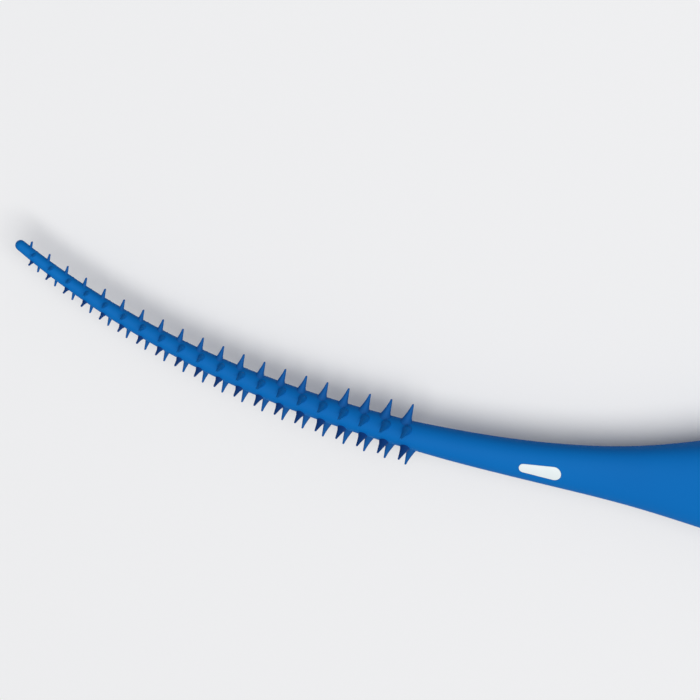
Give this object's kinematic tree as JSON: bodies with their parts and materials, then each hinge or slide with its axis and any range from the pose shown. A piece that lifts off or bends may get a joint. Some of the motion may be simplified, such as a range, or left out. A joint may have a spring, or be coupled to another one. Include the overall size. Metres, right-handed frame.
{
  "type": "interdental brush",
  "caption": "Rubber interdental brush: a tapered, curved needle with rings of small soft thorns, a slim neck with a white window and a flat-backed waisted handle.",
  "frame": {"origin": "middle of the flat back of the handle, under its waist", "axes": "+X runs along the handle from the tip to the butt, +Z from the flat back up through the thumb rest, and the shaft curves towards +Y as it nears the tip"},
  "size_m": [0.0678, 0.0116, 0.0032],
  "materials": {
    "core": "smooth white glass-filled polyester",
    "coat": "satin blue silicone rubber"
  },
  "bodies": {
    "root": {"core": "core", "jacket": "coat", "tip_cap": "coat", "bristle_ring_01": "coat", "bristle_ring_02": "coat", "bristle_ring_03": "coat", "bristle_ring_04": "coat", "bristle_ring_05": "coat", "bristle_ring_06": "coat", "bristle_ring_07": "coat", "bristle_ring_08": "coat", "bristle_ring_09": "coat", "bristle_ring_10": "coat", "bristle_ring_11": "coat", "bristle_ring_12": "coat", "bristle_ring_13": "coat", "bristle_ring_14": "coat", "bristle_ring_15": "coat", "bristle_ring_16": "coat", "bristle_ring_17": "coat", "bristle_ring_18": "coat", "bristle_ring_19": "coat", "bristle_ring_20": "coat"}
  },
  "joints": []
}
